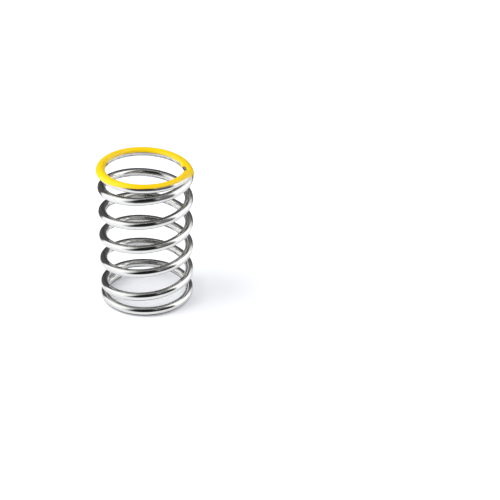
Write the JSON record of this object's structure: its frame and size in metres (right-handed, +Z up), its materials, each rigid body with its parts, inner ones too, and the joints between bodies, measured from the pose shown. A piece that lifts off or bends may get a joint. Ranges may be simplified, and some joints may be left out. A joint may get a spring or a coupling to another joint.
{
  "type": "helical compression spring",
  "caption": "Chromed round-wire compression spring with closed, unground ends and a yellow colour mark on the upper end turn.",
  "frame": {"origin": "on the coil's axis, at the seat under the lower end turn", "axes": "+Z up along the coil's axis; seen from above the wire climbs counter-clockwise and the upper cut end lies 15 degrees clockwise from +X"},
  "size_m": [0.017, 0.017, 0.0265],
  "materials": {
    "spring_wire": "bright chrome plate, with glossy yellow paint over the upper end turn"
  },
  "bodies": {
    "root": {"coil_spring": "spring_wire"}
  },
  "joints": []
}
